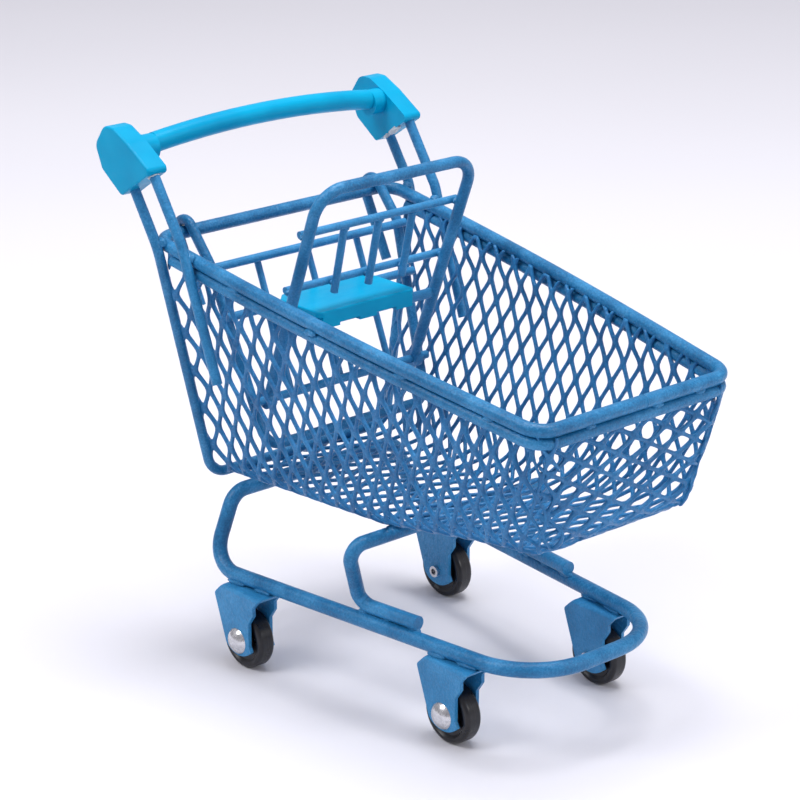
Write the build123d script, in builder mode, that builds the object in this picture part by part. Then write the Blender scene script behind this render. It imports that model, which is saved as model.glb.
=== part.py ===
from build123d import *
from math import asin, atan, atan2, cos, degrees, hypot, pi, radians, sin, sqrt, tan
import os

# A miniature shopping cart of bent, welded and painted wire, with a basket of expanded metal.
# Frame: +X points forward, +Y to the cart's left, +Z up. The origin is on the floor, on the
# centre plane, about midway between the two axles. Sizes are millimetres.

os.makedirs("parts", exist_ok=True)

# --- driving dimensions -------------------------------------------------------------------

# wire gauges and small allowances
ring_wire = 3.5
support_wire = 3.3
rim_wire = 3.0
rim_lower_wire = 2.6
frame_wire = 2.4
gate_wire = 2.4
gate_bar_wire = 2.0
gate_upright_wire = 1.6
backrest_wire = 2.7
backrest_bar_wire = 1.8
backrest_upright_wire = 1.8
seat_bar_wire = 2.4
weld_gap = 0.02
running_gap = 0.06
hook_gap = 0.15

# casters
wheelbase = 60.4
axle_rear_x = -32.0
track_rear = 62.4
track_front = 45.4
wheel_diameter = 14.0
wheel_width = 4.4
wheel_side_gap = 0.5
fork_sheet = 0.9
fork_reach_rear = 8.0
fork_reach_front = 8.2
fork_web_corner = 2.6
fork_waist_reach = 4.3
fork_throat_reach = 6.0
fork_toe_reach = 5.0
fork_heel_reach = 4.0
fork_toe_drop = 1.4
fork_sole_drop = 3.4
rivet_diameter = 2.4
rivet_head_diameter = 6.2
rivet_head_height = 1.5
rivet_tail_length = 0.9
rivet_tail_wall = 0.45
rivet_flare = 0.2

# base ring
ring_height = 21.2
ring_nose_x = 51.0
ring_half_rear = 31.9
ring_half_front = 20.3
ring_half_back = 25.0
ring_rear_x = -44.3
ring_nose_radius = 17.0
ring_heel_radius = 7.4
ring_back_radius = 5.0

# front support
support_foot_end_x = 17.6
support_heel_x = 0.5
support_half_top = 31.0
support_lean_angle = 20.0
support_bend_radius = 3.2

# basket
rim_rear_x = -57.8
rim_rear_z = 98.1
rim_front_x = 59.1
rim_front_z = 80.9
rim_half_rear = 35.6
rim_half_middle = 34.6
rim_half_front = 28.2
rim_rear_radius = 5.0
rim_front_radius = 5.0
rim_bow_radius = 850.0
rim_lower_start_x = -51.5
mesh_sheet = 0.9
mesh_hem = 1.0
mesh_pitch_short = 5.4
mesh_pitch_long = 9.6
mesh_strand = 1.1
side_slope = 0.215
mesh_bend_radius = 9.0
mesh_front_bend_radius = 6.0
side_rear_top_x = -51.4
floor_rear_x = -48.7
floor_rear_z = 40.0
floor_kink_x = 3.0
floor_kink_z = 42.0
front_foot_x = 55.6
front_foot_z = 51.1

# handle frame and braces
upright_rim_x = -53.2
upright_foot_x = -50.0
upright_foot_half = 27.0
upright_foot_radius = 5.0
upright_knee_radius = 10.0
brace_knee_x = -44.6
brace_knee_rise = 1.9
brace_end_x = -33.6
brace_end_drop = 28.3
brace_end_drop_in = 0.7
rim_side_gap = 0.15
wire_entry_depth = 2.4

# handle
grip_lean = 33.4
grip_base_x = -57.3
grip_base_rise = 13.6
grip_base_width = 13.6
grip_width = 5.3
collar_diameter = 6.2
collar_length = 3.4
bar_diameter = 4.8
bar_rise = 2.8

# rear gate
gate_lean_slope = 0.407
gate_bar_drop = {"upper": 6.0, "middle": 16.8, "lower": 35.5}
gate_bar_half = {"upper": 29.4, "middle": 28.3, "lower": 26.2}
gate_lower_bar_x = -34.5
gate_half_top = 28.4
gate_top_shift = 1.5
gate_half_bottom = 24.4
gate_bottom_drop = 46.1
gate_corner_radius = 4.5
gate_hook_tail = 17.0
gate_tail_slope = 0.5
gate_knee_rise = 1.0
gate_knee_radius = 6.0
gate_upright_pitch = 15.0
gate_upright_shift = 1.0

# backrest and seat
backrest_lean_slope = 0.375
backrest_top_rise = 17.1
backrest_half = 23.0
backrest_foot_half = 22.3
backrest_foot_reach = 5.5
backrest_corner_radius = 6.5
backrest_bar_rise = {"upper": 5.4, "lower": -8.5}
backrest_bar_half = 23.4
backrest_upright_pitch = 10.2
backrest_upright_overrun = 2.0
seat_bar_drop = 17.6
link_eye_width = 2.0
link_eye_wall = 1.1
link_arm_diameter = 2.4
seat_half = 14.5
seat_thickness = 1.3
seat_rear_overhang = 0.2
seat_front_overhang = 2.6
seat_lip_wall = 1.3
seat_lip_drop = 1.9
seat_clip_drop = 2.7
seat_clip_slot = 1.9
seat_clip_width = 5.0
seat_clip_pitch = 11.0


# --- helpers --------------------------------------------------------------------------------


def finish(builder, label):
    """Name a finished piece and write it to its own file."""
    builder.part.label = label
    export_step(builder.part, f"parts/{label}.step")


def bent_wire(label, points, radii, diameter, closed=False):
    """A round wire along straight runs joined by arcs."""
    with BuildPart() as piece:
        with BuildLine() as path:
            FilletPolyline(*points, radius=radii, close=closed)
        route = path.wire()
        with BuildSketch(Plane(origin=route @ 0, z_dir=route % 0)):
            Circle(diameter / 2)
        sweep(path=route)
    finish(piece, label)


def straight_rod(label, start, end, diameter):
    """A straight piece of round wire with flat cut ends."""
    axis = Vector(*end) - Vector(*start)
    with BuildPart() as piece:
        with BuildSketch(Plane(origin=start, z_dir=axis)):
            Circle(diameter / 2)
        extrude(amount=axis.length)
    finish(piece, label)


def cross_rod(label, x, z, half_length, diameter, offset=0.0):
    """A straight rod along Y, centred on the cart's centre plane or offset from it."""
    straight_rod(label, (x, offset - half_length, z), (x, offset + half_length, z), diameter)


def both_ways(points):
    """A half route in +Y, given from its free end to the centre, carried on by its mirror image."""
    return points + [(x, -y, z) for x, y, z in reversed(points)]


def clear_of_edges(point, corners, margin):
    """True if a 2-D point lies inside a convex outline by at least the margin."""
    for (ax, ay), (bx, by) in zip(corners, corners[1:] + corners[:1]):
        run = hypot(bx - ax, by - ay)
        if ((bx - ax) * (point[1] - ay) - (by - ay) * (point[0] - ax)) / run < margin:
            return False
    return True


def mesh_panel(label, corners):
    """A flat sheet of diamond mesh on a convex outline, whose first edge runs along the short pitch.

    The corners run counter-clockwise seen from outside the basket.
    """
    first, second, last = Vector(*corners[0]), Vector(*corners[1]), Vector(*corners[-1])
    sheet = Plane(origin=first, x_dir=second - first, z_dir=(second - first).cross(last - first))
    outline = [(p.X, p.Y) for p in (sheet.to_local_coords(Vector(*c)) for c in corners)]
    half_short = mesh_pitch_short / 2
    half_long = mesh_pitch_long / 2
    hole_short = half_short - mesh_strand / 2 * hypot(half_short, half_long) / half_long
    hole_long = half_long * hole_short / half_short
    diamond = [(hole_short, 0), (0, hole_long), (-hole_short, 0), (0, -hole_long)]
    columns = int(max(x for x, _ in outline) / half_short) + 1
    rows = int(max(y for _, y in outline) / half_long) + 1
    first_column = int(min(x for x, _ in outline) / half_short) - 1
    centres = [
        (i * half_short, j * half_long)
        for i in range(first_column, columns)
        for j in range(rows)
        if (i + j) % 2 == 0
        and all(
            clear_of_edges((i * half_short + dx, j * half_long + dy), outline, mesh_hem)
            for dx, dy in diamond
        )
    ]
    with BuildPart() as piece:
        with BuildSketch(sheet):
            Polygon(*outline, align=None)
            with Locations(*centres):
                Polygon(*diamond, align=None, mode=Mode.SUBTRACT)
        extrude(amount=mesh_sheet / 2, both=True)
    finish(piece, label)


# --- shared places --------------------------------------------------------------------------

rim_slope = (rim_rear_z - rim_front_z) / (rim_front_x - rim_rear_x)
rim_middle_x = (rim_rear_x + rim_front_x) / 2
lower_rim_drop = (rim_wire + rim_lower_wire) / 2 / cos(atan(rim_slope)) + weld_gap
mesh_drop = lower_rim_drop + rim_lower_wire / 2 + weld_gap


def rim_z(x):
    """Height of the upper rim wire's centre."""
    return rim_rear_z - rim_slope * (x - rim_rear_x)


def rim_half(x):
    """Half width of the rim between its corners, before its sides are bowed."""
    if x < rim_middle_x:
        share = (x - rim_rear_x) / (rim_middle_x - rim_rear_x)
        return rim_half_rear + share * (rim_half_middle - rim_half_rear)
    share = (x - rim_middle_x) / (rim_front_x - rim_middle_x)
    return rim_half_middle + share * (rim_half_front - rim_half_middle)


def ring_half(x):
    """Half width of the base ring's rails."""
    share = (x - ring_rear_x) / (ring_nose_x - ring_rear_x)
    return ring_half_rear + share * (ring_half_front - ring_half_rear)


def floor_z(x):
    """Height of the basket floor's middle surface."""
    if x < floor_kink_x:
        share = (x - floor_rear_x) / (floor_kink_x - floor_rear_x)
        return floor_rear_z + share * (floor_kink_z - floor_rear_z)
    share = (x - floor_kink_x) / (front_foot_x - floor_kink_x)
    return floor_kink_z + share * (front_foot_z - floor_kink_z)


side_rear_half = rim_half(floor_rear_x) + rim_lower_wire / 8
side_taper = (rim_half_front + rim_lower_wire / 4 - side_rear_half) / (rim_front_x - floor_rear_x)
side_stretch = sqrt(1 + side_slope**2)


def side_half(x, z):
    """Half width of the basket at a height: each side is a plane that leans in towards the floor."""
    top = rim_z(x) - mesh_drop
    return side_rear_half + side_taper * (x - floor_rear_x) - side_slope * (top - z)


def bend_centre(x):
    """Centre of the rounded bend between the floor and a side, as (y, z)."""
    z = floor_z(x) + mesh_bend_radius
    return side_half(x, z) - mesh_bend_radius * side_stretch, z


def side_foot(x):
    """Where the flat side ends and the bend begins, as (y, z)."""
    y, z = bend_centre(x)
    return y + mesh_bend_radius / side_stretch, z - mesh_bend_radius * side_slope / side_stretch


# --- casters --------------------------------------------------------------------------------

axle_z = wheel_diameter / 2
fork_top_z = ring_height - ring_wire / 2 - weld_gap
fork_inner_half = wheel_width / 2 + wheel_side_gap
fork_outer_half = fork_inner_half + fork_sheet
shank_radius = rivet_diameter / 2
wheel_bore = shank_radius + running_gap
wheel_edge = 1.0
wheel_recess = 0.6
recess_outer = 5.0
recess_inner = 2.8
fork_rise = fork_top_z - axle_z
waist_share, throat_share, shoulder_share = 0.44, 0.64, 0.80
fork_sole_x = 0.4
dome_shoulder_radius = 0.62
dome_shoulder_height = 0.72

casters = {
    "rear_right": (axle_rear_x, -track_rear / 2, -1),
    "rear_left": (axle_rear_x, track_rear / 2, 1),
    "front_right": (axle_rear_x + wheelbase, -track_front / 2, -1),
    "front_left": (axle_rear_x + wheelbase, track_front / 2, 1),
}


def fork(label, x, y):
    """A strip folded to a channel: a flat web under the rail and two ears down to the axle."""
    with BuildPart() as piece:
        with BuildSketch(Plane(origin=(x, y, 0), x_dir=(1, 0, 0), z_dir=(0, -1, 0))):
            with BuildLine():
                Polyline(
                    (fork_toe_reach, axle_z - fork_toe_drop),
                    (fork_waist_reach, axle_z),
                    (fork_waist_reach, axle_z + fork_rise * waist_share),
                    (fork_throat_reach, axle_z + fork_rise * throat_share),
                    (fork_throat_reach, axle_z + fork_rise * shoulder_share),
                    (fork_reach_front, fork_top_z),
                    (fork_web_corner - fork_reach_rear, fork_top_z),
                    (-fork_reach_rear, fork_top_z - fork_web_corner),
                    (-fork_heel_reach, axle_z - fork_toe_drop),
                )
                ThreePointArc(
                    (-fork_heel_reach, axle_z - fork_toe_drop),
                    (fork_sole_x, axle_z - fork_sole_drop),
                    (fork_toe_reach, axle_z - fork_toe_drop),
                )
            make_face()
        extrude(amount=fork_outer_half, both=True)
        with Locations((x, y, fork_top_z - fork_sheet)):
            Box(
                4 * fork_reach_rear, 2 * fork_inner_half, fork_top_z,
                align=(Align.CENTER, Align.CENTER, Align.MAX), mode=Mode.SUBTRACT,
            )
        fold_edges = piece.edges().filter_by(Axis.X).group_by(Axis.Z)[-1]
        fillet(fold_edges, fork_sheet)
        rear_edges = piece.edges().filter_by(Axis.Y).group_by(Axis.X)[0]
        fillet(rear_edges, fork_sheet)
        with BuildSketch(Plane(origin=(x, y, axle_z), x_dir=(1, 0, 0), z_dir=(0, -1, 0))):
            Circle(shank_radius + weld_gap)
        extrude(amount=2 * fork_outer_half, both=True, mode=Mode.SUBTRACT)
    finish(piece, label)


def wheel(label, x, y):
    """A solid moulded wheel with rounded tread edges and a shallow ring recess in both faces."""
    radius = wheel_diameter / 2
    half = wheel_width / 2
    with BuildPart() as piece:
        with BuildSketch(Plane(origin=(x, y, axle_z), x_dir=(0, 0, 1), z_dir=(-1, 0, 0))) as section:
            with BuildLine():
                Polyline(
                    (wheel_bore, -half), (recess_inner, -half),
                    (recess_inner + wheel_recess, wheel_recess - half),
                    (recess_outer, wheel_recess - half), (recess_outer + wheel_recess, -half),
                    (radius, -half), (radius, half),
                    (recess_outer + wheel_recess, half), (recess_outer, half - wheel_recess),
                    (recess_inner + wheel_recess, half - wheel_recess), (recess_inner, half),
                    (wheel_bore, half), close=True,
                )
            make_face()
            fillet(section.vertices().group_by(Axis.X)[-1], wheel_edge)
        revolve(axis=Axis((x, y, axle_z), (0, 1, 0)))
    finish(piece, label)


def rivet(label, x, y, side):
    """A semi-tubular rivet: a domed head outside, the rolled end of its tube inside."""
    head_radius = rivet_head_diameter / 2
    head_face = fork_outer_half + weld_gap
    tail_flare = shank_radius + rivet_flare
    tail_bore = shank_radius - rivet_tail_wall
    with BuildPart() as piece:
        with BuildSketch(Plane(origin=(x, y, axle_z), x_dir=(0, 0, 1), z_dir=(-1, 0, 0))):
            with BuildLine():
                Line((0, -side * fork_inner_half), (0, side * (head_face + rivet_head_height)))
                ThreePointArc(
                    (0, side * (head_face + rivet_head_height)),
                    (
                        head_radius * dome_shoulder_radius,
                        side * (head_face + rivet_head_height * dome_shoulder_height),
                    ),
                    (head_radius, side * head_face),
                )
                Polyline(
                    (head_radius, side * head_face), (shank_radius, side * head_face),
                    (shank_radius, -side * head_face), (tail_flare, -side * head_face),
                    (tail_flare, -side * (head_face + rivet_tail_length)),
                    (tail_bore, -side * (head_face + rivet_tail_length)),
                    (tail_bore, -side * fork_inner_half), (0, -side * fork_inner_half),
                )
            make_face()
        revolve(axis=Axis((x, y, axle_z), (0, 1, 0)))
    finish(piece, label)


for place, (x, y, side) in casters.items():
    fork(f"caster_fork_{place}", x, y)
    wheel(f"wheel_{place}", x, y)
    rivet(f"rivet_{place}", x, y, side)

# --- base -----------------------------------------------------------------------------------

ring_back_z = floor_z(ring_rear_x) - mesh_sheet / 2 - ring_wire / 2 - weld_gap
bent_wire(
    "base_ring",
    [
        (ring_rear_x, 0, ring_back_z),
        (ring_rear_x, -ring_half_back, ring_back_z),
        (ring_rear_x, -ring_half_rear, ring_height),
        (ring_nose_x, -ring_half_front, ring_height),
        (ring_nose_x, ring_half_front, ring_height),
        (ring_rear_x, ring_half_rear, ring_height),
        (ring_rear_x, ring_half_back, ring_back_z),
    ],
    [0, ring_back_radius, ring_heel_radius, ring_nose_radius, ring_nose_radius, ring_heel_radius,
     ring_back_radius],
    ring_wire,
    closed=True,
)

foot_distance = (ring_wire + support_wire) / 2 + weld_gap
foot_inset = foot_distance * sin(radians(support_lean_angle))
foot_z = ring_height + foot_distance * cos(radians(support_lean_angle))
support_top_z = floor_kink_z - mesh_sheet / 2 - support_wire / 2 - weld_gap
bent_wire(
    "front_support",
    both_ways([
        (support_foot_end_x, ring_half(support_foot_end_x) - foot_inset, foot_z),
        (support_heel_x, ring_half(support_heel_x) - foot_inset, foot_z),
        (floor_kink_x, support_half_top, support_top_z),
    ]),
    support_bend_radius,
    support_wire,
)

# --- basket ---------------------------------------------------------------------------------

rim_route = [
    (rim_rear_x, 0, rim_rear_z),
    (rim_rear_x, -rim_half_rear, rim_rear_z),
    (rim_middle_x, -rim_half_middle, rim_z(rim_middle_x)),
    (rim_front_x, -rim_half_front, rim_front_z),
    (rim_front_x, rim_half_front, rim_front_z),
    (rim_middle_x, rim_half_middle, rim_z(rim_middle_x)),
    (rim_rear_x, rim_half_rear, rim_rear_z),
]
bent_wire(
    "rim_wire_upper",
    rim_route,
    [0, rim_rear_radius, rim_bow_radius, rim_front_radius, rim_front_radius, rim_bow_radius,
     rim_rear_radius],
    rim_wire,
    closed=True,
)

lower_route = [
    (x, y, z - lower_rim_drop)
    for x, y, z in [
        (rim_lower_start_x, rim_half(rim_lower_start_x), rim_z(rim_lower_start_x)),
        (rim_middle_x, rim_half_middle, rim_z(rim_middle_x)),
        (rim_front_x, rim_half_front, rim_front_z),
    ]
]
bent_wire(
    "rim_wire_lower",
    both_ways(lower_route),
    [rim_bow_radius, rim_front_radius, rim_front_radius, rim_bow_radius],
    rim_lower_wire,
)

front_top_z = rim_front_z - mesh_drop
front_run_x = rim_front_x - front_foot_x
front_run_z = front_top_z - front_foot_z
front_run = hypot(front_run_x, front_run_z)
floor_pitch = degrees(atan((front_foot_z - floor_kink_z) / (front_foot_x - floor_kink_x)))
front_pitch = 90 - degrees(atan(front_run_x / front_run_z))
front_tangent = mesh_front_bend_radius * tan(radians((front_pitch - floor_pitch) / 2))
floor_end_x = front_foot_x - front_tangent * cos(radians(floor_pitch))
front_start_x = front_foot_x + front_tangent * front_run_x / front_run
front_start_z = front_foot_z + front_tangent * front_run_z / front_run
side_end_x = rim_front_x - rim_front_radius


def side_corners(sign):
    """Outline of one flat side: along its top edge to the front, then back along its foot."""
    top = [(x, side_half(x, rim_z(x) - mesh_drop), rim_z(x) - mesh_drop)
           for x in (side_rear_top_x, side_end_x)]
    foot = [(x, *side_foot(x)) for x in (floor_end_x, floor_kink_x, floor_rear_x)]
    return [(x, sign * y, z) for x, y, z in top + foot]


def floor_corners(x_start, x_stop):
    """Outline of a flat length of floor, between the bends along its two sides."""
    y_start, y_stop = bend_centre(x_start)[0], bend_centre(x_stop)[0]
    return [
        (x_start, y_start, floor_z(x_start)), (x_stop, y_stop, floor_z(x_stop)),
        (x_stop, -y_stop, floor_z(x_stop)), (x_start, -y_start, floor_z(x_start)),
    ]


mesh_panel("mesh_side_right", side_corners(-1))
mesh_panel("mesh_side_left", side_corners(1))
mesh_panel("mesh_floor_rear", floor_corners(floor_rear_x, floor_kink_x - weld_gap))
mesh_panel("mesh_floor_front", floor_corners(floor_kink_x + weld_gap, floor_end_x))

front_foot_half = bend_centre(floor_end_x)[0] + mesh_bend_radius / 2
front_top_half = side_half(rim_front_x, front_top_z) - mesh_sheet
mesh_panel(
    "mesh_front",
    [
        (front_start_x, front_foot_half, front_start_z), (rim_front_x, front_top_half, front_top_z),
        (rim_front_x, -front_top_half, front_top_z), (front_start_x, -front_foot_half, front_start_z),
    ],
)

bend_sweep = 90 - degrees(atan(side_slope))
for label, sign in (("mesh_bend_left", 1), ("mesh_bend_right", -1)):
    with BuildPart() as mesh_bend:
        for x in (floor_rear_x, floor_kink_x, floor_end_x):
            centre = bend_centre(x)
            with BuildSketch(Plane(origin=(x, 0, 0), x_dir=(0, sign, 0), z_dir=(sign, 0, 0))):
                with BuildLine():
                    outer = CenterArc(centre, mesh_bend_radius + mesh_sheet / 2, -90, bend_sweep)
                    inner = CenterArc(centre, mesh_bend_radius - mesh_sheet / 2, -90, bend_sweep)
                    Line(outer @ 0, inner @ 0)
                    Line(outer @ 1, inner @ 1)
                make_face()
        loft(ruled=True)
    finish(mesh_bend, label)

front_bend_centre = (
    floor_end_x - mesh_front_bend_radius * sin(radians(floor_pitch)),
    floor_z(floor_end_x) + mesh_front_bend_radius * cos(radians(floor_pitch)),
)
with BuildPart() as mesh_bend_front:
    with BuildSketch(Plane(origin=(0, 0, 0), x_dir=(1, 0, 0), z_dir=(0, -1, 0))):
        with BuildLine():
            outer = CenterArc(
                front_bend_centre, mesh_front_bend_radius + mesh_sheet / 2,
                floor_pitch - 90, front_pitch - floor_pitch,
            )
            inner = CenterArc(
                front_bend_centre, mesh_front_bend_radius - mesh_sheet / 2,
                floor_pitch - 90, front_pitch - floor_pitch,
            )
            Line(outer @ 0, inner @ 0)
            Line(outer @ 1, inner @ 1)
        make_face()
    extrude(amount=bend_centre(floor_end_x)[0], both=True)
finish(mesh_bend_front, "mesh_bend_front")

# --- handle ---------------------------------------------------------------------------------

grip_across = Vector(cos(radians(grip_lean)), 0, sin(radians(grip_lean)))
grip_up = Vector(-sin(radians(grip_lean)), 0, cos(radians(grip_lean)))
beside_rim = (rim_wire + frame_wire) / 2 + rim_side_gap
upright_half = rim_half(upright_rim_x) + beside_rim
brace_half = rim_half(brace_knee_x) + beside_rim
grip_half = (upright_half + brace_half) / 2
grip_base_z = rim_rear_z + grip_base_rise


def wire_entry(knee):
    """End of a wire that leaves a knee along the grip's lean and goes into the grip's base."""
    base = Vector(grip_base_x, knee[1], grip_base_z)
    reach = (base - Vector(*knee)).dot(grip_up) + wire_entry_depth
    return tuple(Vector(*knee) + grip_up * reach)


upright_knee = (upright_rim_x, upright_half, rim_z(upright_rim_x))
upright_foot = (upright_foot_x, upright_foot_half, floor_rear_z + frame_wire / 2)
bent_wire(
    "handle_frame",
    both_ways([wire_entry(upright_knee), upright_knee, upright_foot]),
    [upright_knee_radius, upright_foot_radius, upright_foot_radius, upright_knee_radius],
    frame_wire,
)

brace_knee = (brace_knee_x, brace_half, rim_rear_z + brace_knee_rise)
brace_end = (brace_end_x, brace_half - brace_end_drop_in, rim_rear_z - brace_end_drop)
for label, sign in (("handle_brace_left", 1), ("handle_brace_right", -1)):
    brace_route = [(x, sign * y, z) for x, y, z in (wire_entry(brace_knee), brace_knee, brace_end)]
    bent_wire(label, brace_route, [upright_knee_radius], frame_wire)

# side outline of a grip, measured across and up from the middle of its base
grip_outline = [
    (-grip_base_width / 2, 0), (grip_base_width / 2, 0), (2.6, 9.0), (-0.4, 14.0), (-3.4, 16.0),
    (-9.0, 13.8), (-10.0, 8.0),
]
grip_corner = 1.1
grip_shoulder = 5.0
grip_crown = 7.0
grip_crown_radius = 2.6
grip_edge = 0.5
bar_across = -0.6
bar_up = 8.1
collar_end = grip_half - grip_width / 2 - collar_length
bar_end = Vector(grip_base_x, 0, grip_base_z) + grip_across * bar_across + grip_up * bar_up

for label, sign in (("handle_grip_left", 1), ("handle_grip_right", -1)):
    grip_side = Plane(
        origin=(grip_base_x, sign * grip_half, grip_base_z), x_dir=grip_across, z_dir=(0, -1, 0)
    )
    grip_base = Plane(origin=grip_side.origin, x_dir=grip_across, z_dir=grip_up)
    with BuildPart() as grip:
        with BuildSketch(grip_side) as outline:
            Polygon(*grip_outline, align=None)
            fillet(outline.vertices().filter_by(lambda v: v.Y < grip_shoulder), grip_corner)
            fillet(outline.vertices().filter_by(lambda v: v.Y > grip_crown), grip_crown_radius)
        extrude(amount=grip_width / 2, both=True)
        outer_face = grip.faces().sort_by(Axis.Y)[-1 if sign > 0 else 0]
        fillet(outer_face.edges(), grip_edge)
        with BuildSketch(Plane(origin=(bar_end.X, sign * collar_end, bar_end.Z), z_dir=(0, sign, 0))):
            Circle(collar_diameter / 2)
        extrude(amount=collar_length + grip_width / 2)
        for knee in (upright_knee, brace_knee):
            offset = Vector(*knee) - Vector(grip_base_x, grip_half, grip_base_z)
            with BuildSketch(grip_base):
                with Locations((offset.dot(grip_across), sign * offset.Y)):
                    Circle(frame_wire / 2 + weld_gap)
            extrude(amount=wire_entry_depth + weld_gap, mode=Mode.SUBTRACT)
    finish(grip, label)

with BuildPart() as handle_bar:
    with BuildLine() as bar_path:
        ThreePointArc(
            (bar_end.X, -grip_half, bar_end.Z),
            (bar_end.X, 0, bar_end.Z + bar_rise),
            (bar_end.X, grip_half, bar_end.Z),
        )
    with BuildSketch(Plane(origin=bar_path.line @ 0, z_dir=bar_path.line % 0)):
        Circle(bar_diameter / 2)
    sweep(path=bar_path.line)
    with Locations((bar_end.X, 0, bar_end.Z)):
        Box(
            4 * bar_diameter, 2 * (collar_end - weld_gap), 4 * bar_diameter,
            mode=Mode.INTERSECT,
        )
finish(handle_bar, "handle_bar")

# --- rear gate ------------------------------------------------------------------------------

gate_bar_z = {name: rim_rear_z - drop for name, drop in gate_bar_drop.items()}
gate_behind = Vector(-1, 0, -gate_lean_slope).normalized()
hinge_radius = rim_wire / 2 + hook_gap + gate_wire / 2
gate_wire_behind = (gate_wire + gate_bar_wire) / 2 + weld_gap
gate_upright_behind = (gate_upright_wire + gate_bar_wire) / 2 + weld_gap


def gate_bar_x(z):
    """Place of the gate's cross bars along its lean."""
    return gate_lower_bar_x - gate_lean_slope * (z - gate_bar_z["lower"])


def gate_point(z, behind):
    """A point of the gate at a cross bar's height, set back square to its lean, as (x, z)."""
    point = Vector(gate_bar_x(z), 0, z) + gate_behind * behind
    return point.X, point.Z


# Each side wire leans up to a knee just above the upper bar, runs on to touch the circle of
# hinge_radius round the rear rim wire, turns over the top of it and hangs down behind it.
hinge = Vector(rim_rear_x, 0, rim_rear_z)
knee_x, knee_z = gate_point(gate_bar_z["upper"] + gate_knee_rise, gate_wire_behind)
arm = Vector(knee_x, 0, knee_z) - hinge
arm_angle = atan2(arm.X, -arm.Z) - asin(hinge_radius / arm.length)
arm_down = Vector(sin(arm_angle), 0, -cos(arm_angle))
arm_behind = Vector(-cos(arm_angle), 0, -sin(arm_angle))
tail_angle = atan(gate_tail_slope)
tail_down = Vector(sin(tail_angle), 0, -cos(tail_angle))
tail_behind = Vector(-cos(tail_angle), 0, -sin(tail_angle))
hook_front = hinge - (arm_behind + arm_down) * hinge_radius
hook_back = hinge + (
    arm_behind * tan((pi / 2 - arm_angle + tail_angle) / 2) - arm_down
) * hinge_radius
hook_tail = hinge + tail_behind * hinge_radius + tail_down * gate_hook_tail
hook_bend = hinge_radius - weld_gap
gate_bottom_z = rim_rear_z - gate_bottom_drop
bottom_x = knee_x + gate_lean_slope * (knee_z - gate_bottom_z)


def gate_side(sign):
    """Route of one side of the gate's frame; the top of the gate sits a little to the left."""
    top_y = sign * gate_half_top + gate_top_shift
    top = [(point.X, top_y, point.Z) for point in (hook_tail, hook_back, hook_front)]
    return top + [(knee_x, top_y, knee_z), (bottom_x, sign * gate_half_bottom, gate_bottom_z)]


bent_wire(
    "gate_frame",
    gate_side(1) + gate_side(-1)[::-1],
    [hook_bend, hook_bend, gate_knee_radius, gate_corner_radius, gate_corner_radius,
     gate_knee_radius, hook_bend, hook_bend],
    gate_wire,
)

for name, z in gate_bar_z.items():
    shift = gate_top_shift / 2 * (z - gate_bottom_z) / (knee_z - gate_bottom_z)
    cross_rod(f"gate_bar_{name}", gate_bar_x(z), z, gate_bar_half[name], gate_bar_wire, shift)

upright_top = gate_point(gate_bar_z["upper"], gate_upright_behind)
upright_bottom = gate_point(gate_bar_z["lower"], gate_upright_behind)
for number in (1, 2, 3):
    y = (number - 2) * gate_upright_pitch + gate_upright_shift
    straight_rod(
        f"gate_upright_{number}",
        (upright_top[0], y, upright_top[1]),
        (upright_bottom[0], y, upright_bottom[1]),
        gate_upright_wire,
    )

# --- backrest -------------------------------------------------------------------------------

pivot = Vector(gate_lower_bar_x, 0, gate_bar_z["lower"])
back_up = Vector(backrest_lean_slope, 0, 1).normalized()
back_behind = Vector(-1, 0, backrest_lean_slope).normalized()
backrest_bar_z = {name: rim_rear_z + rise for name, rise in backrest_bar_rise.items()}
backrest_reach = (rim_rear_z + backrest_top_rise - pivot.Z) / back_up.Z
backrest_bar_behind = (backrest_wire + backrest_bar_wire) / 2 + weld_gap


def backrest_point(reach, behind, y):
    """A point of the backrest: a distance up its legs from the pivot, set back, and aside."""
    point = pivot + back_up * reach + back_behind * behind
    return (point.X, y, point.Z)


def leg_half(reach):
    """Half the distance between the backrest's legs at a distance from the pivot."""
    share = (reach - backrest_foot_reach) / (backrest_reach - backrest_foot_reach)
    return backrest_foot_half + share * (backrest_half - backrest_foot_half)


def reach_at(z):
    """Distance up the legs of a point at a height."""
    return (z - pivot.Z) / back_up.Z


bent_wire(
    "backrest_frame",
    both_ways([
        backrest_point(backrest_foot_reach, 0, backrest_foot_half),
        backrest_point(backrest_reach, 0, backrest_half),
    ]),
    backrest_corner_radius,
    backrest_wire,
)

for name, z in backrest_bar_z.items():
    x, _, bar_z = backrest_point(reach_at(z), backrest_bar_behind, 0)
    cross_rod(f"backrest_bar_{name}", x, bar_z, backrest_bar_half, backrest_bar_wire)

# The uprights butt up under the upper bar and pass in front of the lower one.
bar_in_front = (backrest_upright_wire + backrest_bar_wire) / 2 + weld_gap
under_bar = backrest_bar_wire / 2 + weld_gap
for number in (1, 2, 3):
    y = (number - 2) * backrest_upright_pitch
    upright_top = Vector(*backrest_point(
        reach_at(backrest_bar_z["upper"]) - under_bar, backrest_bar_behind, y
    ))
    upright_low = Vector(*backrest_point(
        reach_at(backrest_bar_z["lower"]), backrest_bar_behind - bar_in_front, y
    ))
    upright_end = upright_low + (upright_low - upright_top).normalized() * backrest_upright_overrun
    straight_rod(
        f"backrest_upright_{number}", tuple(upright_top), tuple(upright_end), backrest_upright_wire
    )

seat_bar_z = rim_rear_z - seat_bar_drop
seat_bar = backrest_point(reach_at(seat_bar_z), 0, 0)
seat_bar_half = leg_half(reach_at(seat_bar_z)) - backrest_wire / 2 - weld_gap
cross_rod("backrest_seat_bar", seat_bar[0], seat_bar[2], seat_bar_half, seat_bar_wire)

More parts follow.
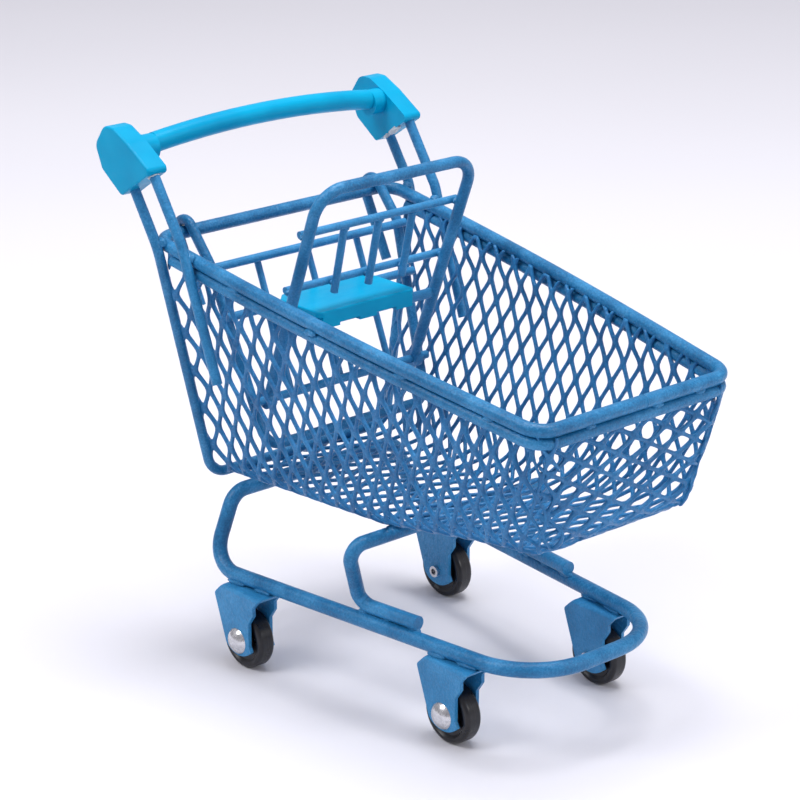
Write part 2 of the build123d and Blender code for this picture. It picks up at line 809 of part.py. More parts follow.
eye_bore = gate_bar_wire / 2 + running_gap
for label, sign in (("pivot_link_left", 1), ("pivot_link_right", -1)):
    with BuildPart() as link:
        eye_plane = Plane(origin=(pivot.X, sign * backrest_foot_half, pivot.Z), z_dir=(0, 1, 0))
        with BuildSketch(eye_plane):
            Circle(eye_bore + link_eye_wall)
        extrude(amount=link_eye_width / 2, both=True)
        with BuildSketch(Plane(origin=eye_plane.origin, z_dir=back_up)):
            Circle(link_arm_diameter / 2)
        extrude(amount=backrest_foot_reach - weld_gap)
        with BuildSketch(eye_plane):
            Circle(eye_bore)
        extrude(amount=link_arm_diameter, both=True, mode=Mode.SUBTRACT)
    finish(link, label)

# --- seat -----------------------------------------------------------------------------------

seat_under_z = gate_bar_z["middle"] + gate_bar_wire / 2 + weld_gap
seat_rear_x = gate_bar_x(gate_bar_z["middle"]) - seat_rear_overhang
seat_front_x = seat_bar[0] + seat_front_overhang
clip_bore = seat_bar_wire / 2 + running_gap
seat_corner = 3.0
seat_edge = 0.4
with BuildPart() as seat:
    with BuildSketch(Plane.XY.offset(seat_under_z)) as plate:
        with Locations(((seat_rear_x + seat_front_x) / 2, 0)):
            Rectangle(seat_front_x - seat_rear_x, 2 * seat_half)
        chamfer(plate.vertices().group_by(Axis.X)[0], seat_corner)
        fillet(plate.vertices().group_by(Axis.X)[-1], seat_corner / 2)
    extrude(amount=seat_thickness)
    fillet(seat.faces().sort_by(Axis.Z)[-1].edges(), seat_edge)
    with Locations((seat_front_x, 0, seat_under_z)):
        Box(
            seat_lip_wall, 2 * (seat_half - seat_corner), seat_lip_drop,
            align=(Align.MAX, Align.CENTER, Align.MAX),
        )
    for offset in (-seat_clip_pitch, 0, seat_clip_pitch):
        with Locations((seat_front_x, offset, seat_under_z)):
            Box(
                2 * seat_front_overhang, seat_clip_width, seat_clip_drop,
                align=(Align.MAX, Align.CENTER, Align.MAX),
            )
    with BuildSketch(Plane(origin=seat_bar, z_dir=(0, 1, 0))):
        Circle(clip_bore)
    extrude(amount=seat_half, both=True, mode=Mode.SUBTRACT)
    with Locations(seat_bar):
        Box(
            seat_clip_slot, 2 * seat_half, 2 * seat_clip_drop,
            align=(Align.CENTER, Align.CENTER, Align.MAX), mode=Mode.SUBTRACT,
        )
finish(seat, "seat")
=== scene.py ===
import bpy
import bmesh
from math import cos, floor, hypot, radians, sin
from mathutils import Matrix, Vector, noise


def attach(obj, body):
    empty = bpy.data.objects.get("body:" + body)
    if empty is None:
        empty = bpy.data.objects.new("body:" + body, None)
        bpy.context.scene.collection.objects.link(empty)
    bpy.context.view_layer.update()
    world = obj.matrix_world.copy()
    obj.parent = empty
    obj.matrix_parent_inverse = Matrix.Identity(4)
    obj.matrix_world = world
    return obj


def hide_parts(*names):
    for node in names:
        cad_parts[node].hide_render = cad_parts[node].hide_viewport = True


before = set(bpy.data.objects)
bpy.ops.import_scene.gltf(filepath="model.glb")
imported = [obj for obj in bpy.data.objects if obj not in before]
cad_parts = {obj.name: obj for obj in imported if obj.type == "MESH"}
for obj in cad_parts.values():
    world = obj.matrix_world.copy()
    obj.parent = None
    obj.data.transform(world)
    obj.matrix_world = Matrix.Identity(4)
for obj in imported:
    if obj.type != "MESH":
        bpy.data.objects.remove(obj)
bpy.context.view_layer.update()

MM = 0.001
# Sizes of the cart are in millimetres. The camera, the lights, the stage and all
# distances and scales inside materials are in metres.

NOISE_SEED = 1
noise.seed_set(NOISE_SEED)  # vector noise would otherwise follow the clock


# ---------------------------------------------------------------- camera, light and stage

CAMERA_PLACE = (0.4265, -0.3941, 0.2701)
CAMERA_AZIMUTH = radians(48.21)
CAMERA_ELEVATION = radians(19.35)
FOCAL_LENGTH = 123.9
SENSOR_WIDTH = 36.0
STAGE_SIZE = 8

scene = bpy.context.scene
scene.view_settings.view_transform = "Standard"


def aim(thing, direction):
    """Turn a camera or light, which look along their own -Z, to a direction."""
    thing.rotation_euler = direction.to_track_quat("-Z", "Y").to_euler()


camera_data = bpy.data.cameras.new("camera")
camera_data.lens = FOCAL_LENGTH
camera_data.sensor_width = SENSOR_WIDTH
camera_data.clip_start = 0.01
camera_data.clip_end = 20.0
camera = bpy.data.objects.new("camera", camera_data)
scene.collection.objects.link(camera)
camera.location = CAMERA_PLACE
aim(camera, Vector((
    -sin(CAMERA_AZIMUTH) * cos(CAMERA_ELEVATION),
    cos(CAMERA_AZIMUTH) * cos(CAMERA_ELEVATION),
    -sin(CAMERA_ELEVATION),
)))
scene.camera = camera


def area_light(name, location, target, size, power):
    data = bpy.data.lights.new(name, "AREA")
    data.shape = "DISK"
    data.size = size
    data.energy = power
    light = bpy.data.objects.new(name, data)
    scene.collection.objects.link(light)
    light.location = location
    aim(light, Vector(target) - Vector(location))


area_light("key_light", (-0.25, -0.70, 0.95), target=(0, 0, 0.06), size=0.5, power=5.5)
area_light("top_light", (0.05, 0.15, 1.1), target=(0, 0, 0.05), size=0.6, power=10.0)
area_light("rim_light", (0.9, 0.35, 0.5), target=(0, 0, 0.06), size=0.4, power=2.5)

world = bpy.data.worlds.new("studio")
scene.world = world
world.use_nodes = True
background = world.node_tree.nodes["Background"]
background.inputs["Color"].default_value = (0.94, 0.93, 1.0, 1)
background.inputs["Strength"].default_value = 0.5


# ---------------------------------------------------------------- materials


class Look:
    """A material, with short calls for the nodes that the cart's surfaces share."""

    def __init__(self, name):
        self.material = bpy.data.materials.new(name)
        self.material.use_nodes = True
        self.nodes = self.material.node_tree.nodes
        self.shader = self.nodes["Principled BSDF"]
        self.coords = self.nodes.new("ShaderNodeTexCoord").outputs["Object"]

    def link(self, output, node, socket):
        self.material.node_tree.links.new(output, node.inputs[socket])

    def shade(self, socket, value):
        self.shader.inputs[socket].default_value = value

    def noise(self, scale, detail=3.0, rough=0.55, coords=None):
        texture = self.nodes.new("ShaderNodeTexNoise")
        texture.inputs["Scale"].default_value = scale
        texture.inputs["Detail"].default_value = detail
        texture.inputs["Roughness"].default_value = rough
        self.link(coords or self.coords, texture, "Vector")
        return texture.outputs["Fac"]

    def ramp(self, value, *stops):
        """Colours by value; each stop is a position and a colour, the lowest first."""
        node = self.nodes.new("ShaderNodeValToRGB")
        elements = node.color_ramp.elements
        for element, (position, colour) in zip(elements, (stops[0], stops[-1])):
            element.position = position
            element.color = (*colour, 1)
        for position, colour in stops[1:-1]:
            elements.new(position).color = (*colour, 1)
        self.link(value, node, "Fac")
        return node.outputs["Color"]

    def math(self, operation, *values):
        """A sum on node outputs and plain numbers, in the order of the node's sockets."""
        node = self.nodes.new("ShaderNodeMath")
        node.operation = operation
        for socket, value in enumerate(values):
            if isinstance(value, float):
                node.inputs[socket].default_value = value
            else:
                self.link(value, node, socket)
        return node.outputs[0]

    def bump(self, height, strength, distance, below=None):
        node = self.nodes.new("ShaderNodeBump")
        node.inputs["Strength"].default_value = strength
        node.inputs["Distance"].default_value = distance
        self.link(height, node, "Height")
        if below is not None:
            self.link(below, node, "Normal")
        return node.outputs["Normal"]

    def finish(self, colour, roughness=None, normal=None):
        """Connect what the shader takes from nodes, and give the material."""
        self.link(colour, self.shader, "Base Color")
        if roughness is not None:
            self.link(roughness, self.shader, "Roughness")
        if normal is not None:
            self.link(normal, self.shader, "Normal")
        return self.material


def grey(level):
    return (level,) * 3


def powder_coat(name, dark, middle, light, grain):
    """Powder coat: fine speckle, broader unevenness and an orange-peel surface."""
    rough, relief = 0.36, 0.9
    # the last two set the painted highlight on convex edges: how strong it is and how far past
    # the lightest coat colour it goes
    speck_share, edge_highlight_share, edge_highlight_gain = 0.45, 0.3, 1.35
    look = Look(name)
    broad = look.noise(130.0)
    speck = look.noise(grain, 2.0, 0.7)
    spread = look.math(
        "MULTIPLY_ADD", speck, speck_share, look.math("MULTIPLY", broad, 1 - speck_share)
    )
    coat = look.ramp(spread, (0.34, dark), (0.5, middle), (0.66, light))
    # painted highlight: the coat is paler on convex edges
    pointiness = look.nodes.new("ShaderNodeNewGeometry").outputs["Pointiness"]
    edge = look.ramp(pointiness, (0.5, grey(0)), (0.62, grey(1)))
    highlighted = look.nodes.new("ShaderNodeMix")
    highlighted.data_type = "RGBA"
    highlighted.inputs["B"].default_value = (*[min(1, c * edge_highlight_gain) for c in light], 1)
    look.link(look.math("MULTIPLY", edge, edge_highlight_share), highlighted, "Factor")
    look.link(coat, highlighted, "A")
    roughness = look.ramp(speck, (0.3, grey(rough - 0.08)), (0.7, grey(rough + 0.1)))
    look.shade("Specular IOR Level", 0.32)
    look.shade("Coat Weight", 0.06)
    look.shade("Coat Roughness", 0.3)
    peel = look.bump(look.noise(grain * 0.45, 2.0, 0.5), relief, 0.00025)
    grit = look.bump(speck, relief * 0.8, 0.00012, below=peel)
    return look.finish(highlighted.outputs["Result"], roughness, grit)


def moulded_plastic(name, low, high, rough, marks):
    """Moulded plastic: soft colour drift, faint flow marks and a fine satin texture."""
    look = Look(name)
    colour = look.ramp(look.noise(70.0, 2.0), (0.3, low), (0.7, high))
    stretched = look.nodes.new("ShaderNodeMapping")
    stretched.inputs["Scale"].default_value = (1.0, 0.22, 1.0)
    look.link(look.coords, stretched, "Vector")
    flow = look.noise(420.0, coords=stretched.outputs["Vector"])
    roughness = look.ramp(flow, (0.3, grey(rough - 0.06)), (0.7, grey(rough + 0.08)))
    look.shade("Specular IOR Level", 0.12)
    look.shade("Subsurface Weight", 0.06)
    look.shade("Subsurface Radius", (0.0006, 0.0012, 0.002))
    flow_marks = look.bump(flow, marks, 0.00012)
    satin = look.bump(look.noise(4200.0, 2.0), marks * 0.6, 0.00004, below=flow_marks)
    return look.finish(colour, roughness, satin)


HALF_TRACK_REAR = 31.2
HALF_TRACK_FRONT = 22.7


def wheel_plastic():
    """Black moulded plastic with a parting line round the middle of the tread."""
    line_half_width = 0.12 * MM
    look = Look("wheel_plastic")
    drift = look.noise(300.0)
    colour = look.ramp(drift, (0.3, (0.003, 0.003, 0.005)), (0.72, (0.008, 0.008, 0.012)))
    roughness = look.ramp(drift, (0.3, grey(0.26)), (0.7, grey(0.42)))
    axes = look.nodes.new("ShaderNodeSeparateXYZ")
    look.link(look.coords, axes, "Vector")
    from_middle = look.math("ABSOLUTE", axes.outputs["Y"])
    rear_line, front_line = (
        look.math("COMPARE", from_middle, half_track * MM, line_half_width)
        for half_track in (HALF_TRACK_REAR, HALF_TRACK_FRONT)
    )
    ridge = look.bump(look.math("MAXIMUM", rear_line, front_line), 0.6, 0.0001)
    satin = look.bump(look.noise(2400.0), 0.3, 0.00006, below=ridge)
    return look.finish(colour, roughness, satin)


def bright_plating():
    """Bright plating with faint stains and a little dullness."""
    look = Look("bright_plating")
    stain = look.noise(900.0)
    colour = look.ramp(stain, (0.35, (0.52, 0.52, 0.54)), (0.65, (0.74, 0.74, 0.76)))
    look.shade("Metallic", 1.0)
    roughness = look.ramp(stain, (0.3, grey(0.16)), (0.7, grey(0.32)))
    return look.finish(colour, roughness, look.bump(stain, 0.15, 0.00005))


def dried_glue():
    look = Look("dried_glue")
    cloud = look.noise(1500.0)
    look.shade("Roughness", 0.25)
    look.shade("Transmission Weight", 0.35)
    look.shade("Subsurface Weight", 0.2)
    look.shade("Subsurface Radius", (0.001, 0.001, 0.001))
    return look.finish(look.ramp(cloud, (0.3, (0.62, 0.68, 0.72)), (0.7, (0.85, 0.88, 0.9))))


def stage_paper():
    look = Look("stage_paper")
    tone = look.noise(3.0, 2.0)
    look.shade("Roughness", 0.75)
    look.shade("Specular IOR Level", 0.15)
    return look.finish(look.ramp(tone, (0.3, (0.72, 0.71, 0.76)), (0.7, (0.74, 0.73, 0.78))))


paint = powder_coat(
    "blue_powder_coat", (0.004, 0.090, 0.225), (0.012, 0.155, 0.350), (0.042, 0.250, 0.500),
    grain=2200.0,
)
# the basket's coat is the frame's blue made darker: painted shade
shaded_mesh_paint = powder_coat(
    "blue_mesh_coat_painted_shade", (0.005, 0.082, 0.225), (0.011, 0.132, 0.325), (0.030, 0.205, 0.450),
    grain=1700.0,
)
cyan = moulded_plastic("cyan_plastic", (0.0, 0.275, 0.50), (0.0, 0.345, 0.59), 0.34, 0.45)
wheel_black = wheel_plastic()
chrome = bright_plating()
glue = dried_glue()

for node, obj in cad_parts.items():
    if node.startswith("wheel_"):
        material = wheel_black
    elif node.startswith("rivet_"):
        material = chrome
    elif node in ("seat", "handle_bar") or node.startswith("handle_grip"):
        material = cyan
    elif node.startswith("mesh_"):
        material = shaded_mesh_paint
    else:
        material = paint
    obj.data.materials.clear()
    obj.data.materials.append(material)

bpy.ops.mesh.primitive_plane_add(size=STAGE_SIZE, location=(0, 0, 0))
stage = bpy.context.object
stage.name = "stage_floor"
stage.data.materials.append(stage_paper())


def new_piece(name, mesh_data, material, body):
    piece = bpy.data.objects.new(name, mesh_data)
    scene.collection.objects.link(piece)
    mesh_data.materials.append(material)
    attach(piece, body)
    return piece


# ---------------------------------------------------------------- rim and tub

# points in side view are (x, z); halves are measured out from the centre plane
RIM_REAR = (-57.8, 98.1)
RIM_FRONT = (59.1, 80.9)
RIM_HALF_REAR = 35.6
RIM_HALF_MIDDLE = 34.6
RIM_HALF_FRONT = 28.2
FLOOR_REAR = (-48.7, 40.0)
FLOOR_KINK = (3.0, 42.0)
FRONT_FOOT = (55.6, 51.1)
SHEET_DROP = 4.17           # from the upper rim wire down to the sheet's nominal top
SHEET_OUT_REAR = 0.325      # from the rim wire out to the sheet, before it is tucked in
SHEET_OUT_FRONT = 0.65
SIDE_START = -50.6
SIDE_SLOPE = 0.215          # inward lean of the sides, as a share of the depth

RIM_MIDDLE_X = (RIM_REAR[0] + RIM_FRONT[0]) / 2
RIM_HALF_LENGTH = (RIM_FRONT[0] - RIM_REAR[0]) / 2
RIM_SLOPE = (RIM_REAR[1] - RIM_FRONT[1]) / (RIM_FRONT[0] - RIM_REAR[0])
FRONT_TOP_Z = RIM_FRONT[1] - SHEET_DROP
FRONT_SLOPE = (RIM_FRONT[0] - FRONT_FOOT[0]) / (FRONT_TOP_Z - FRONT_FOOT[1])
SIDE_STRETCH = hypot(1, SIDE_SLOPE)
FRONT_STRETCH = hypot(1, FRONT_SLOPE)


def rim_z(x):
    return RIM_REAR[1] - RIM_SLOPE * (x - RIM_REAR[0])


def rim_half(x):
    if x < RIM_MIDDLE_X:
        narrowing = (RIM_HALF_REAR - RIM_HALF_MIDDLE) / RIM_HALF_LENGTH
        return RIM_HALF_REAR - (x - RIM_REAR[0]) * narrowing
    narrowing = (RIM_HALF_MIDDLE - RIM_HALF_FRONT) / RIM_HALF_LENGTH
    return RIM_HALF_MIDDLE - (x - RIM_MIDDLE_X) * narrowing


SIDE_HALF_REAR = rim_half(FLOOR_REAR[0]) + SHEET_OUT_REAR
SIDE_TAPER = (
    (RIM_HALF_FRONT + SHEET_OUT_FRONT - SIDE_HALF_REAR) / (RIM_FRONT[0] - FLOOR_REAR[0])
)


def top_z(x):
    return rim_z(x) - SHEET_DROP


def floor_z(x):
    start, stop = (FLOOR_REAR, FLOOR_KINK) if x < FLOOR_KINK[0] else (FLOOR_KINK, FRONT_FOOT)
    return start[1] + (x - start[0]) / (stop[0] - start[0]) * (stop[1] - start[1])


def side_half(x, z):
    return SIDE_HALF_REAR + SIDE_TAPER * (x - FLOOR_REAR[0]) - SIDE_SLOPE * (top_z(x) - z)


def front_x(z):
    return FRONT_FOOT[0] + FRONT_SLOPE * (z - FRONT_FOOT[1])


def foot_half(x):
    return side_half(x, floor_z(x))


# ---------------------------------------------------------------- expanded-metal basket

HALF_SHORT = 2.7            # half of a diamond's pitch, across and along
HALF_LONG = 4.8
HOLE_SHORT = 2.05           # half of its hole
HOLE_LONG = 3.85
HOLE_ROUNDNESS = 1.07       # 1 is a sharp diamond and 2 an ellipse
THICKNESS = 0.92
STRAND_SHARE = 0.24         # of a diamond's half pitch that is strand, not hole
STRAND_TWIST = 0.24         # how far a twisted strand's edges leave the sheet
FLOOR_BEND = 9.0            # radii of the bends
NOSE_BEND = 6.5
CORNER_BEND = 4.6
SIDE_TUCK = 1.55            # how far the top edges pass inside the lower rim wire
FRONT_TUCK = 1.2
REAR_FLARE = 1.1            # rear edges of the sides, spread over the rear uprights
REAR_LEAN = 2.6             # how much further back they stand at the top
LAP_LIFT = 0.75             # where a side's sheet laps over the front
WAVE = 0.16
SIDE_SPARE = 3.6            # sheet left above the nominal top, tucked behind the rim
FRONT_SPARE = 3.4
LAP_FOOT = 5.5              # width of the laps on the front, at the foot and the top
LAP_TOP = 9.0
NEAR_TIP = Vector((54.0, -20.0, 54.0))
FAR_TIP = Vector((54.0, 20.0, 54.0))


def smooth(start, stop, value):
    share = min(1.0, max(0.0, (value - start) / (stop - start)))
    return share * share * (3 - 2 * share)


def bend_radius(x, z):
    """Large bends along the floor, tighter towards the nose and up the front corners."""
    low = FLOOR_BEND + (NOSE_BEND - FLOOR_BEND) * smooth(32, 52, x)
    return low + (CORNER_BEND - low) * smooth(10, 20, z - floor_z(x))


def rounded(point, kind, side):
    """Move a point of the sharp-edged tub on to its rounded form.

    Gives the new place and the outward normal there.
    """
    x, y, z = point
    radius = bend_radius(x, z)
    x_in = x
    if kind == "side":
        z_in = z + radius * SIDE_SLOPE / SIDE_STRETCH
    elif kind == "front":
        z_in = z + radius * FRONT_SLOPE / FRONT_STRETCH
        x_in = x - radius / FRONT_STRETCH
    else:
        z_in = z + radius
    z_in = max(z_in, floor_z(min(x_in, FRONT_FOOT[0])) + radius)
    x_in = min(x_in, front_x(z_in) - radius * FRONT_STRETCH)
    y_limit = side_half(x_in, z_in) - radius * SIDE_STRETCH
    y_in = side * y_limit if kind == "side" else max(-y_limit, min(y_limit, y))
    inner = Vector((x_in, y_in, z_in))
    away = (Vector(point) - inner).normalized()
    return inner + away * radius, away


def strand_tilt(s, t):
    """Twist of a strand: one edge stands out of the sheet and the other sinks into it."""
    nearest = None
    i0, j0 = floor(s / HALF_SHORT), floor(t / HALF_LONG)
    for i in range(i0 - 1, i0 + 3):
        for j in range(j0 - 1, j0 + 3):
            if (i + j) % 2:
                continue
            u, v = s - i * HALF_SHORT, t - j * HALF_LONG
            reach = abs(u) / HALF_SHORT + abs(v) / HALF_LONG
            if nearest is None or reach < nearest[0]:
                nearest = (reach, u)
    reach, u = nearest
    across = max(-1.0, min(1.0, u / HOLE_SHORT * 1.4))
    return across * max(0.0, 1 - reach) / STRAND_SHARE


def place_on_tub(s, t, region):
    """Lay a point of the flat sheet on the tub.

    s runs along the cart and t across it, both measured on the sheet's surface.
    """
    side = 1 if t > 0 else -1
    lift = 0.0
    kind = region
    if region == "floor":
        point = (s, t, floor_z(s))
    elif region == "front":
        z = FRONT_FOOT[1] + (s - FRONT_FOOT[0]) / FRONT_STRETCH
        point = (front_x(z), t, z)
        lift = -FRONT_TUCK * smooth(FRONT_TOP_Z - 5.0, FRONT_TOP_Z - 0.5, z)
    else:
        x_base = min(s, FRONT_FOOT[0])
        z = floor_z(x_base) + (abs(t) - foot_half(x_base)) / SIDE_STRETCH
        height = (z - floor_z(x_base)) / (top_z(x_base) - floor_z(x_base))
        x = s - REAR_LEAN * height * (1 - smooth(-49, -12, s))
        corner = front_x(z)
        if x <= corner:
            point = (x, side * side_half(x, z), z)
            lift = -SIDE_TUCK * smooth(top_z(x) - 5.5, top_z(x) - 0.5, z)
            lift += REAR_FLARE * (1 - smooth(-49.5, -46.0, s))
        else:
            over = x - corner
            point = (corner, side * (side_half(corner, z) - over), z)
            kind = "front"
            lift = LAP_LIFT * smooth(1.5, 5.0, over)
    place, normal = rounded(point, kind, side)
    wave = WAVE * noise.noise(Vector((s * 0.11, t * 0.11, 3.1)))
    # the front lower corners are crumpled, the near one more than the far one
    at_near = 1 - smooth(4, 14, (place - NEAR_TIP).length)
    at_far = 1 - smooth(4, 12, (place - FAR_TIP).length)
    crumple = (1.1 * at_near + 0.5 * at_far) * noise.noise(place * 0.42)
    shift = noise.noise_vector(place * 0.3) * (0.8 * at_near + 0.3 * at_far)
    out = lift + wave + crumple + STRAND_TWIST * strand_tilt(s, t)
    return (place + normal * out + shift) * MM


def diamond_ring():
    """Twelve points round a unit diamond, three to a side."""
    ring = []
    for quarter, (sx, sy) in enumerate(((1, 1), (-1, 1), (-1, -1), (1, -1))):
        for share in (0.0, 1 / 3, 2 / 3):
            near = share if quarter % 2 == 0 else 1 - share
            ring.append((sx * (1 - near), sy * near))
    return ring


def lattice(outline, region):
    """Diamond lattice cut to a convex outline of the flat sheet, then laid on the tub."""
    work = bmesh.new()
    lows = [min(p[k] for p in outline) for k in (0, 1)]
    highs = [max(p[k] for p in outline) for k in (0, 1)]
    ring = diamond_ring()
    count = len(ring)
    for i in range(int(lows[0] / HALF_SHORT) - 2, int(highs[0] / HALF_SHORT) + 3):
        for j in range(int(lows[1] / HALF_LONG) - 2, int(highs[1] / HALF_LONG) + 3):
            if (i + j) % 2:
                continue
            cx, cy = i * HALF_SHORT, j * HALF_LONG
            outer, inner = [], []
            for u, v in ring:
                outer.append(work.verts.new((cx + u * HALF_SHORT, cy + v * HALF_LONG, 0)))
                reach = abs(u) ** HOLE_ROUNDNESS + abs(v) ** HOLE_ROUNDNESS
                scale = reach ** (-1 / HOLE_ROUNDNESS)
                inner.append(work.verts.new(
                    (cx + u * scale * HOLE_SHORT, cy + v * scale * HOLE_LONG, 0)
                ))
            for k in range(count):
                n = (k + 1) % count
                work.faces.new((outer[k], outer[n], inner[n], inner[k]))
    bmesh.ops.remove_doubles(work, verts=work.verts, dist=0.02)
    centre = Vector((sum(p[0] for p in outline), sum(p[1] for p in outline))) / len(outline)
    for (ax, ay), (bx, by) in zip(outline, outline[1:] + outline[:1]):
        normal = Vector((by - ay, ax - bx, 0)).normalized()
        if (centre - Vector((ax, ay))).dot(normal.xy) > 0:
            normal = -normal
        bmesh.ops.bisect_plane(
            work, geom=work.verts[:] + work.edges[:] + work.faces[:], dist=0.001,
            plane_co=(ax, ay, 0), plane_no=normal, clear_outer=True,
        )
    for vert in work.verts:
        vert.co = place_on_tub(vert.co.x, vert.co.y, region)
    return work


def top_reach(x):
    return foot_half(x) + (top_z(x) - floor_z(x)) * SIDE_STRETCH + SIDE_SPARE


nose = FRONT_FOOT[0]
lengths = ((SIDE_START, FLOOR_KINK[0]), (FLOOR_KINK[0], nose))
regions = []
for sign in (1, -1):
    for start, stop in lengths:
        regions.append(([
            (start, sign * foot_half(start)), (stop, sign * foot_half(stop)),
            (stop, sign * top_reach(stop)), (start, sign * top_reach(start)),
        ], "side"))
    regions.append(([
        (nose, sign * foot_half(nose)), (nose + LAP_FOOT, sign * foot_half(nose)),
        (nose + LAP_TOP, sign * (top_reach(nose) - 1.0)), (nose, sign * top_reach(nose)),
    ], "side"))
for start, stop in lengths:
    regions.append(([
        (start, foot_half(start)), (stop, foot_half(stop)),
        (stop, -foot_half(stop)), (start, -foot_half(start)),
    ], "floor"))
front_top = nose + (FRONT_TOP_Z - FRONT_FOOT[1]) * FRONT_STRETCH + FRONT_SPARE
front_half_top = side_half(RIM_FRONT[0], FRONT_TOP_Z)
regions.append(([
    (nose, foot_half(nose)), (front_top, front_half_top),
    (front_top, -front_half_top), (nose, -foot_half(nose)),
], "front"))

basket_mesh = bpy.data.meshes.new("basket_mesh")
whole = bmesh.new()
for outline, region in regions:
    part = lattice(outline, region)
    scratch = bpy.data.meshes.new("scratch")
    part.to_mesh(scratch)
    part.free()
    whole.from_mesh(scratch)
    bpy.data.meshes.remove(scratch)
bmesh.ops.remove_doubles(whole, verts=whole.verts, dist=0.03 * MM)
bmesh.ops.recalc_face_normals(whole, faces=whole.faces)
for face in whole.faces:
    face.smooth = True
whole.to_mesh(basket_mesh)
whole.free()
basket = new_piece("basket_expanded_metal", basket_mesh, shaded_mesh_paint, "frame")
solid = basket.modifiers.new("thickness", "SOLIDIFY")
solid.thickness = THICKNESS * MM
solid.offset = 0.0
rounding = basket.modifiers.new("rounding", "SUBSURF")
rounding.levels = 1
rounding.render_levels = 1
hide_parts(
    "mesh_side_left", "mesh_side_right", "mesh_floor_rear", "mesh_floor_front",
    "mesh_front", "mesh_bend_left", "mesh_bend_right", "mesh_bend_front",
)


# ---------------------------------------------------------------- welds, seam and glue

ALONG_X, ALONG_Y = (1, 0, 0), (0, 1, 0)


def bead(work, place, axis, length, width, seed):
    """A lumpy drop of weld metal or glue, drawn out along an axis."""
    start = len(work.verts)
    made = bmesh.ops.create_icosphere(work, subdivisions=3, radius=1.0)["verts"]
    turn = Vector(axis).to_track_quat("Z", "Y")
    offset = Vector((seed * 3.7, 0.3, start * 0.01))
    for vert in made:
        lump = 1 + 0.28 * noise.noise(vert.co * 1.7 + offset)
        local = Vector((vert.co.x * width, vert.co.y * width, vert.co.z * length / 2)) * lump
        vert.co = (Vector(place) + turn @ local) * MM


def bead_piece(name, beads, material, body):
    """One piece of many beads, each given as its place, axis, length and half width."""
    work = bmesh.new()
    for seed, (place, axis, length, width) in enumerate(beads):
        bead(work, place, axis, length, width, seed)
    for face in work.faces:
        face.smooth = True
    data = bpy.data.meshes.new(name)
    work.to_mesh(data)
    work.free()
    return new_piece(name, data, material, body)


# base ring: its side rails run in a straight line from the rear corners to the nose
RAIL_REAR_X = -44.3
RAIL_FRONT_X = 51.0
RAIL_HALF_REAR = 31.9
RAIL_HALF_FRONT = 20.3
AXLE_REAR_X = -32.0
AXLE_FRONT_X = 28.4


def rail_half(x):
    narrowing = (RAIL_HALF_REAR - RAIL_HALF_FRONT) / (RAIL_FRONT_X - RAIL_REAR_X)
    return RAIL_HALF_REAR - (x - RAIL_REAR_X) * narrowing


frame_beads = []
for side in (-1, 1):
    # handle uprights and braces on the rim wires
    for x, out, up, length, width in (
        (-53.2, 1.55, 1.0, 2.6, 1.1), (-43.3, 1.55, 1.0, 2.6, 1.2), (-42.3, 1.5, -3.2, 2.2, 0.9),
    ):
        place = (x, side * (rim_half(x) + out), rim_z(x) + up)
        frame_beads.append((place, ALONG_X, length, width))
    # upper and lower rim wires, tacked together here and there
    for x in (-30.0, -4.0, 22.0, 46.0):
        place = (x, side * (rim_half(x) + 0.35), rim_z(x) - 1.6)
        frame_beads.append((place, ALONG_X, 3.4, 0.8))
    # feet of the front support along the rails
    for x, length in ((16.4, 4.5), (9.0, 3.0), (2.0, 3.4)):
        frame_beads.append(((x, side * (rail_half(x) - 0.9), 22.7), ALONG_X, length, 0.9))
    # rails on the fork webs
    for axle_x in (AXLE_REAR_X, AXLE_FRONT_X):
        for x in (axle_x - 3.5, axle_x + 5.0):
            for out in (-1.15, 1.15):
                place = (x, side * (rail_half(x) + out), 19.75)
                frame_beads.append((place, (1, -0.12 * side, 0), 5.2, 0.62))
    # rear arch and front support under the floor mesh
    frame_beads.append(((RAIL_REAR_X, side * 14.0, 39.4), ALONG_Y, 3.2, 0.8))
    frame_beads.append(((FLOOR_KINK[0], side * 18.0, 41.2), ALONG_Y, 3.2, 0.8))
for y in (-14.0, 6.0, 19.0):
    place = (RIM_FRONT[0] + 0.3, y, RIM_FRONT[1] - 1.6)
    frame_beads.append((place, ALONG_Y, 3.0, 0.75))
bead_piece("welds_frame", frame_beads, paint, "frame")

# the gate leans back, and the backrest forward, from the same low line
PIVOT_X = -34.5
PIVOT_Z = 62.6
GATE_LEAN = 0.407
GATE_SHIFT = 1.5            # how far the gate's top sits to the left of its foot
GATE_FOOT_Z = 52.0
GATE_RISE = 41.1
BACKREST_LEAN = 0.375
BACKREST_HALF = 22.75
BAR_OFFSET = 2.27           # backrest bars, square off the frame wire's centre line
SEAT_BAR = (-27.79, 80.5)

gate_beads = []
for z, reach in ((92.1, 28.2), (81.3, 27.2), (PIVOT_Z, 25.4)):
    x = PIVOT_X - GATE_LEAN * (z - PIVOT_Z)
    shift = GATE_SHIFT * (z - GATE_FOOT_Z) / GATE_RISE
    for y in (shift - reach, shift + reach):
        gate_beads.append(((x - 1.0, y, z - 0.4), ALONG_Y, 2.8, 0.85))
    for y in (-14.0, 1.0, 16.0):
        gate_beads.append(((x - 0.9, y, z - 0.35), ALONG_Y, 2.0, 0.6))
bead_piece("welds_gate", gate_beads, paint, "gate")

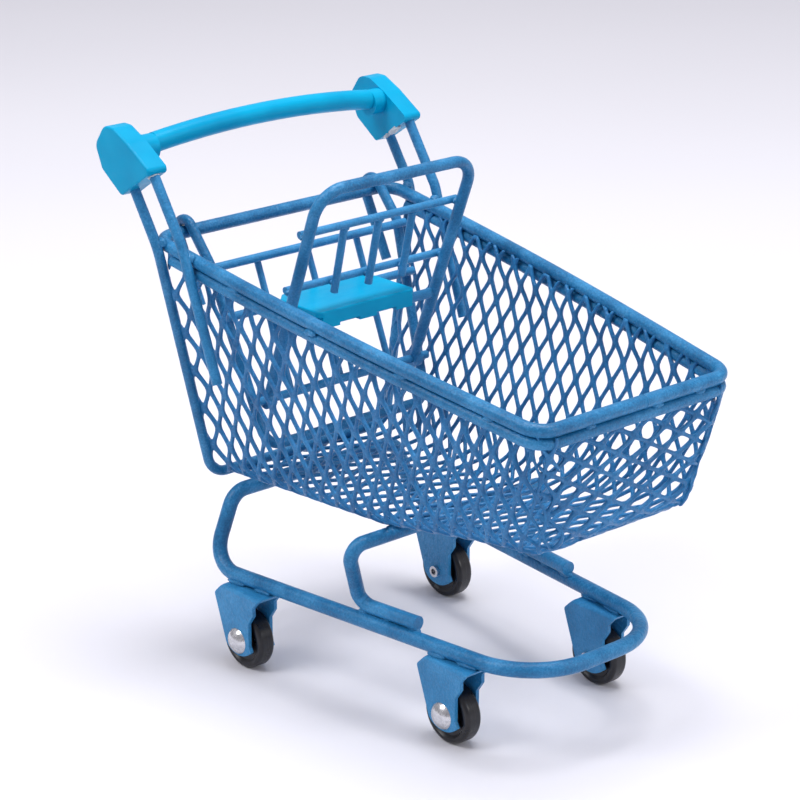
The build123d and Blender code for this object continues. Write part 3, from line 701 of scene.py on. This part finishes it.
back_beads = []
for z, across in ((103.5, 0.0), (89.6, 0.85)):
    off = BAR_OFFSET / hypot(1, BACKREST_LEAN)
    x = PIVOT_X + (z - PIVOT_Z) * BACKREST_LEAN - off
    bar_z = z + off * BACKREST_LEAN
    for y in (-BACKREST_HALF, BACKREST_HALF):
        back_beads.append(((x + 0.9, y, bar_z - 0.3), ALONG_Y, 2.6, 0.8))
    for y in (-10.2, 0.0, 10.2):
        place = (x + across, y, bar_z - 0.9 + 0.6 * across)
        back_beads.append((place, ALONG_Y, 2.2, 0.62))
for side in (-1, 1):
    back_beads.append(((SEAT_BAR[0], side * 21.1, SEAT_BAR[1]), ALONG_Y, 0.9, 1.32))
bead_piece("welds_backrest", back_beads, paint, "backrest")

# the butt seam where the rim wire's ends meet
SEAM_Y = 1.9
bpy.ops.mesh.primitive_torus_add(
    major_radius=1.46 * MM, minor_radius=0.16 * MM, major_segments=48, minor_segments=10,
    location=(0, 0, 0), rotation=(radians(90), 0, 0),
)
seam_source = bpy.context.object
seam_mesh = seam_source.data
seam_mesh.transform(seam_source.matrix_world)
for vert in seam_mesh.vertices:
    vert.co += Vector((RIM_FRONT[0], SEAM_Y, RIM_FRONT[1])) * MM
for polygon in seam_mesh.polygons:
    polygon.use_smooth = True
bpy.data.objects.remove(seam_source)
new_piece("rim_butt_seam", seam_mesh, paint, "frame")

# glue squeezed out where the handle wires go into the grips
GRIP_LEAN = radians(33.4)
GRIP_BASE = (-57.3, 111.7)
GRIP_HALF_SPAN = 38.3


def grip_place(across, up, y):
    """A point on a grip, measured across and up from the middle of its base."""
    return Vector((
        GRIP_BASE[0] + across * cos(GRIP_LEAN) - up * sin(GRIP_LEAN), y,
        GRIP_BASE[1] + across * sin(GRIP_LEAN) + up * cos(GRIP_LEAN),
    ))


along_grip = (cos(GRIP_LEAN), 0, sin(GRIP_LEAN))
inner_side = GRIP_HALF_SPAN - 2.1
glue_beads = [
    (grip_place(0.4, -0.1, inner_side), along_grip, 4.6, 0.8),
    (grip_place(-2.9, -0.1, inner_side), along_grip, 2.6, 0.6),
    (grip_place(4.1, -0.1, -GRIP_HALF_SPAN), (0.55, 0, -0.84), 0.7, 1.45),
]
bead_piece("glue_under_grips", glue_beads, glue, "frame")
